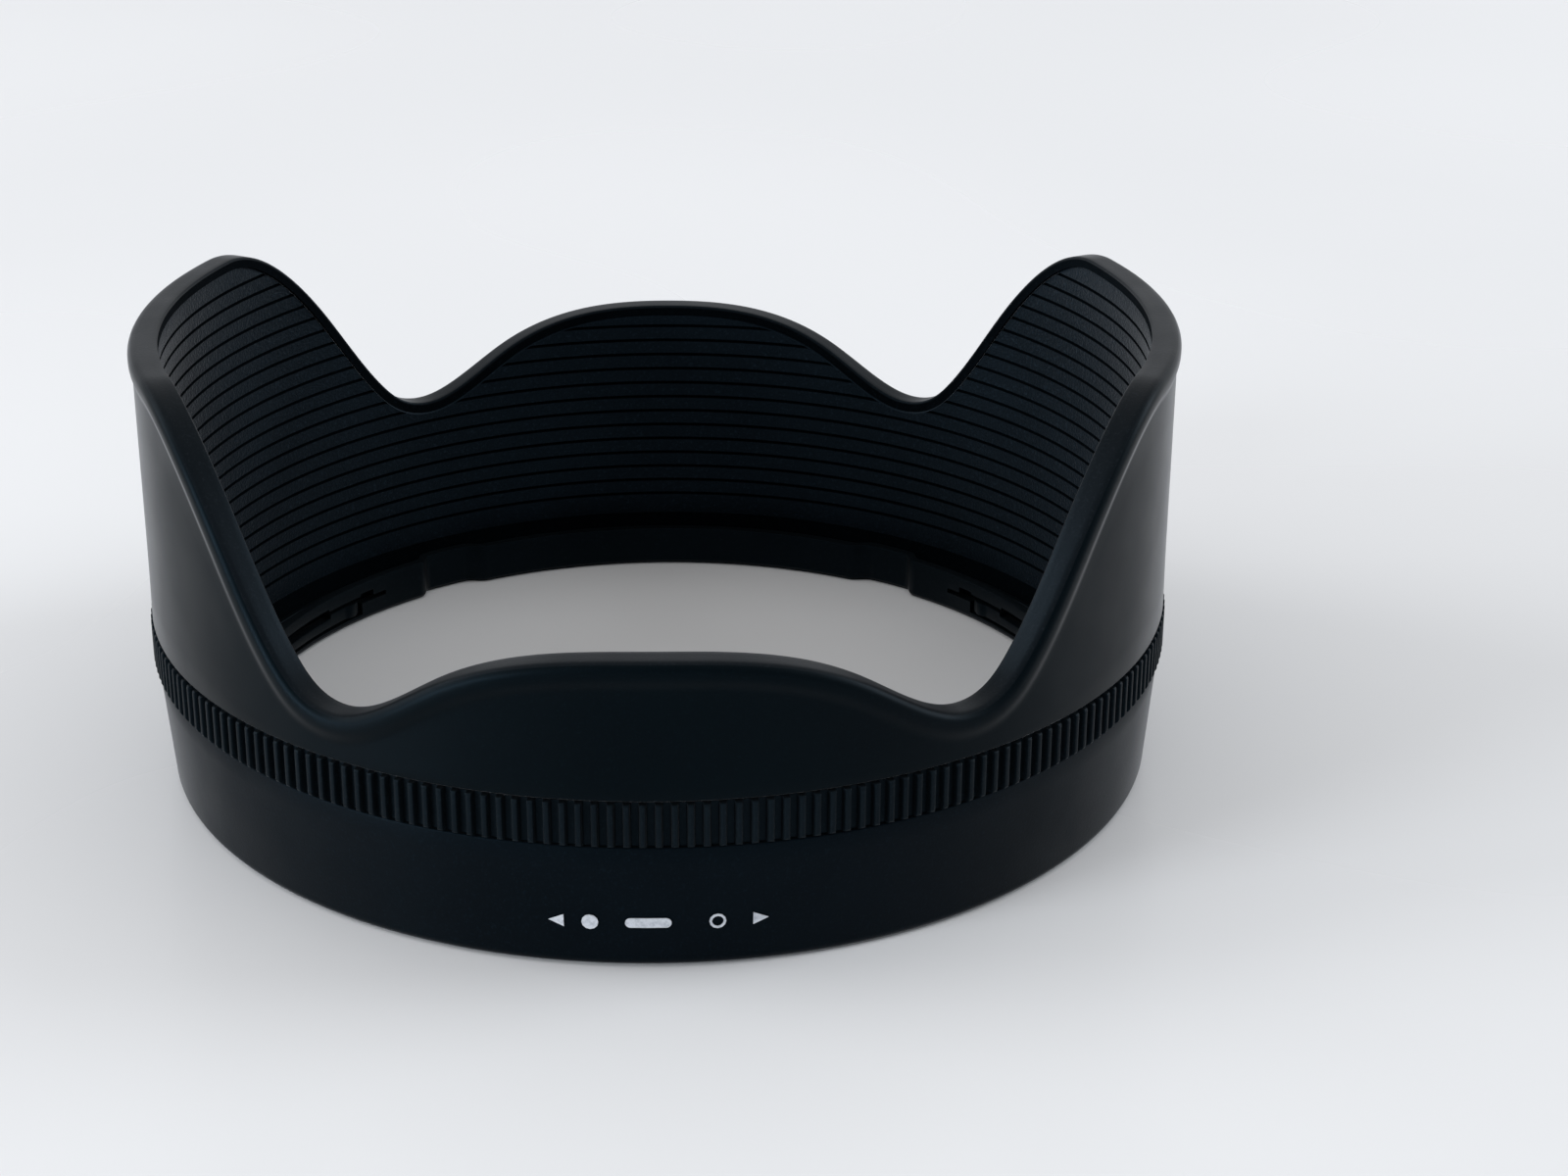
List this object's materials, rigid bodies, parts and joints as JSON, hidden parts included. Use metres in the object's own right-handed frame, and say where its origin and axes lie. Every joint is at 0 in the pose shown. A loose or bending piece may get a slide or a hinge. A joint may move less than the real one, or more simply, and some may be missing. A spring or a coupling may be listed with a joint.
{
  "type": "petal lens hood",
  "caption": "Round lens hood with scalloped petals, a ribbed grip band, a plain mounting skirt and a twist-on bayonet with click fingers inside its foot.",
  "frame": {"origin": "centre of the bore on the plane of the mount end, on which the hood stands", "axes": "+Z along the optical axis towards the petals, -Y towards the short petal above the index marks, +X towards a tall petal"},
  "size_m": [0.0898, 0.0898, 0.0392],
  "materials": {
    "shell": "satin black outside, matte inside",
    "grip": "matte ribbed",
    "skirt": "soft-touch matte",
    "bayonet": "matte",
    "fingers": "matte",
    "marks": "printed white"
  },
  "bodies": {
    "hood": {"hood_shell": "shell", "grip_ring": "grip", "mount_skirt": "skirt", "bayonet_ring": "bayonet", "index_bar": "marks", "lock_arrow": "marks", "locked_dot": "marks", "unlocked_circle": "marks", "unlock_arrow": "marks"},
    "finger_front_right": {"detent_finger_front_right": "fingers"},
    "finger_front_left": {"detent_finger_front_left": "fingers"},
    "finger_back_left": {"detent_finger_back_left": "fingers"},
    "finger_back_right": {"detent_finger_back_right": "fingers"}
  },
  "joints": [
    {"name": "flex_front_right", "type": "hinge", "parent": "hood", "child": "finger_front_right", "pos_m": [0.03625, -0.01355, 0.0014], "axis": [0, 0, 1], "range_deg": [0, 3], "stiffness_Nm_per_rad": 0.02},
    {"name": "flex_front_left", "type": "hinge", "parent": "hood", "child": "finger_front_left", "pos_m": [-0.03625, -0.01355, 0.0014], "axis": [0, 0, -1], "range_deg": [0, 3], "stiffness_Nm_per_rad": 0.02},
    {"name": "flex_back_left", "type": "hinge", "parent": "hood", "child": "finger_back_left", "pos_m": [-0.03625, 0.01355, 0.0014], "axis": [0, 0, 1], "range_deg": [0, 3], "stiffness_Nm_per_rad": 0.02},
    {"name": "flex_back_right", "type": "hinge", "parent": "hood", "child": "finger_back_right", "pos_m": [0.03625, 0.01355, 0.0014], "axis": [0, 0, -1], "range_deg": [0, 3], "stiffness_Nm_per_rad": 0.02}
  ]
}
